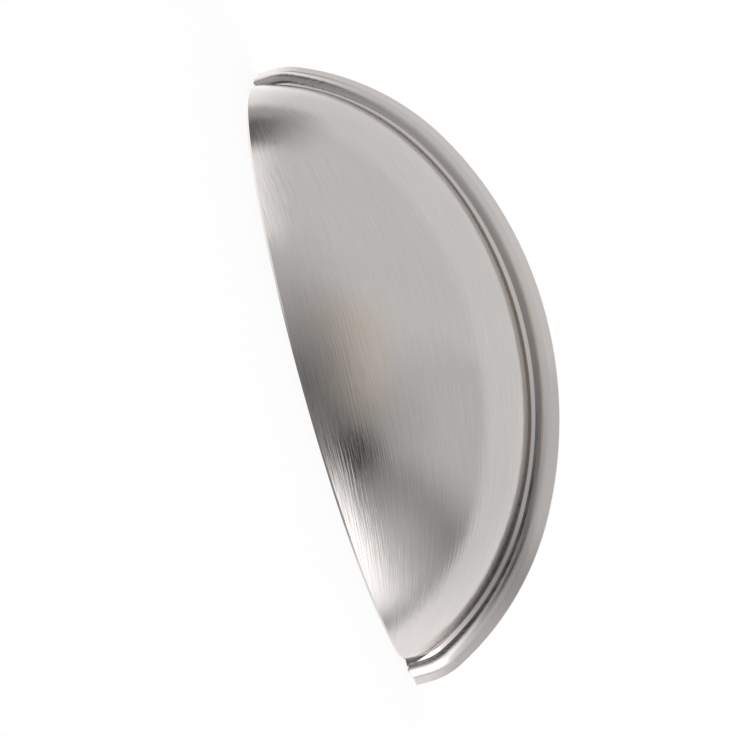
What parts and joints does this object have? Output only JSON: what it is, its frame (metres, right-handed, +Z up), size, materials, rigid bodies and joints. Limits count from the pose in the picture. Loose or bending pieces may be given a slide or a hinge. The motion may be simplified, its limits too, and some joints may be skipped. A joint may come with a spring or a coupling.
{
  "type": "cup pull",
  "caption": "Half-moon cup pull for a drawer or cabinet front: a domed hood with a beaded rim, open below for the fingers, with tapped bosses inside for fixing from behind.",
  "frame": {"origin": "midway between the two screw holes, on the flat back face that meets the drawer front", "axes": "+X along the pull's length, +Y out of the back face into the drawer front, +Z up, from the opening edge towards the top of the curved rim"},
  "size_m": [0.0958, 0.0259, 0.0326],
  "materials": {
    "satin_metal": "satin"
  },
  "bodies": {
    "root": {"cup_pull": "satin_metal"}
  },
  "joints": []
}
